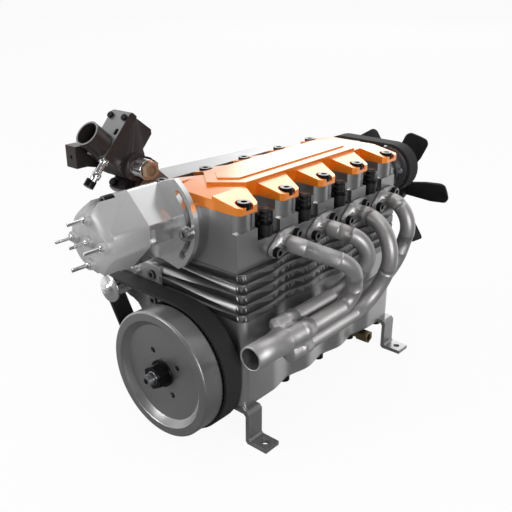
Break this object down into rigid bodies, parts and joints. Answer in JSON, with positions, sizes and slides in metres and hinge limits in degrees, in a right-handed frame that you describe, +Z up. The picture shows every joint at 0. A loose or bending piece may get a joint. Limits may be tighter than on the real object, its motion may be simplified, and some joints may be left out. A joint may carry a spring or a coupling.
{
  "type": "model inline four engine",
  "caption": "Bench model inline engine with an orange twin cam cover, belt starter behind a heavy flywheel, distributor, tilted carburettor, bundled exhaust pipes and a rear cooling fan.",
  "frame": {"origin": "centre of the four foot bolt holes, on the soles of the feet, under the crankshaft axis", "axes": "+Z up along the cylinders, +Y along the crankshaft towards the fan, +X towards the exhaust side"},
  "size_m": [0.0898, 0.1778, 0.1127],
  "materials": {
    "case_metal": "bead blasted grey, satin",
    "block_metal": "dark grey, satin",
    "head_metal": "dark grey, satin",
    "orange_cover": "orange anodised, fine machining lines",
    "black_screw": "black oxide with bright edges",
    "steel": "turned steel",
    "foot_steel": "grey satin steel",
    "flywheel_metal": "dark grey, turned and satin",
    "exhaust_metal": "blasted pale grey, satin",
    "plenum_metal": "light silver, satin",
    "polished_alloy": "polished flats",
    "cap_plastic": "light grey, matte",
    "chromed": "bright chrome",
    "dark_alloy": "black anodised, satin",
    "plate_alloy": "dark grey anodised, satin",
    "brass": "plain brass",
    "bronze": "bearing bronze",
    "belt_rubber": "black, matte",
    "fan_plastic": "black, semi gloss",
    "gasket": "fibre sheet",
    "rotor_plastic": "moulded brown",
    "glow_plug": "black rubber boot, satin",
    "motor_metal": "plated steel can"
  },
  "bodies": {
    "engine": {"crankcase": "case_metal", "sump_plate": "case_metal", "sump_screws": "black_screw", "drain_plug": "brass", "feet": "foot_steel", "cylinder_block": "block_metal", "cylinder_liners": "steel", "head_gasket": "gasket", "cylinder_head": "head_metal", "valve_cover": "orange_cover", "cover_screws": "black_screw", "cam_end_caps": "head_metal", "spark_plugs": "glow_plug", "main_bearings": "bronze", "belt_idler": "steel", "timing_belt": "belt_rubber", "exhaust_pipes": "exhaust_metal", "exhaust_collector": "exhaust_metal", "exhaust_gaskets": "gasket", "exhaust_screws": "black_screw", "intake_plenum": "plenum_metal", "plenum_screws": "black_screw", "carburettor_body": "dark_alloy", "carburettor_cover": "plate_alloy", "needle_holder": "chromed", "fuel_nipple": "chromed", "idle_screw": "black_screw", "carburettor_screws": "black_screw", "timing_clamp_screw": "steel", "starter_motor": "motor_metal", "starter_bracket": "plenum_metal", "bracket_screws": "black_screw", "starter_belt": "belt_rubber", "fan_bracket": "head_metal", "fan_belt": "belt_rubber"},
    "crank": {"crankshaft": "steel", "crank_sprocket": "steel", "starter_ring": "block_metal", "flywheel": "flywheel_metal", "flywheel_nut": "black_screw", "crank_fan_pulley": "steel"},
    "outer_piston_pair": {"outer_pistons": "steel"},
    "inner_piston_pair": {"inner_pistons": "steel"},
    "intake_cam": {"intake_camshaft": "steel", "intake_sprocket": "steel", "rotor_arm": "rotor_plastic"},
    "exhaust_cam": {"exhaust_camshaft": "steel", "exhaust_sprocket": "steel"},
    "distributor": {"distributor_housing": "polished_alloy", "distributor_cap": "cap_plastic", "cap_terminals": "chromed", "cap_screws": "black_screw"},
    "throttle": {"throttle_barrel": "steel", "throttle_lever": "dark_alloy"},
    "needle": {"needle_nut": "brass"},
    "starter": {"starter_pulley": "polished_alloy"},
    "fan": {"fan_shaft": "steel", "fan": "fan_plastic"}
  },
  "joints": [
    {"name": "crank_spin", "type": "hinge", "parent": "engine", "child": "crank", "pos_m": [0, 0, 0.027], "axis": [0, 1, 0], "continuous": true},
    {"name": "outer_piston_slide", "type": "slide", "parent": "engine", "child": "outer_piston_pair", "axis": [0, 0, 1], "range_m": [-0.008, 0.008]},
    {"name": "inner_piston_slide", "type": "slide", "parent": "engine", "child": "inner_piston_pair", "axis": [0, 0, 1], "range_m": [-0.008, 0.008]},
    {"name": "intake_cam_spin", "type": "hinge", "parent": "engine", "child": "intake_cam", "pos_m": [-0.0125, 0, 0.078], "axis": [0, 1, 0], "continuous": true},
    {"name": "exhaust_cam_spin", "type": "hinge", "parent": "engine", "child": "exhaust_cam", "pos_m": [0.0125, 0, 0.078], "axis": [0, 1, 0], "continuous": true},
    {"name": "timing_turn", "type": "hinge", "parent": "engine", "child": "distributor", "pos_m": [-0.0125, -0.049, 0.078], "axis": [0, 1, 0], "range_deg": [-12, 12]},
    {"name": "throttle_turn", "type": "hinge", "parent": "engine", "child": "throttle", "pos_m": [-0.031, -0.05112, 0.09415], "axis": [1, 0, 0], "range_deg": [0, 50]},
    {"name": "needle_turn", "type": "hinge", "parent": "engine", "child": "needle", "pos_m": [-0.031, -0.05112, 0.09415], "axis": [1, 0, 0], "continuous": true},
    {"name": "starter_spin", "type": "hinge", "parent": "engine", "child": "starter", "pos_m": [-0.0346, -0.049, 0.0469], "axis": [0, 1, 0], "continuous": true},
    {"name": "fan_spin", "type": "hinge", "parent": "engine", "child": "fan", "pos_m": [0, 0.06, 0.0615], "axis": [0, 1, 0], "continuous": true}
  ],
  "couplings": [
    {"joint": "intake_cam_spin", "follows": "crank_spin", "ratio": 0.5},
    {"joint": "exhaust_cam_spin", "follows": "crank_spin", "ratio": 0.5},
    {"joint": "starter_spin", "follows": "crank_spin", "ratio": 6.1667},
    {"joint": "fan_spin", "follows": "crank_spin", "ratio": 1},
    {"joint": "inner_piston_slide", "follows": "outer_piston_slide", "ratio": -1}
  ]
}
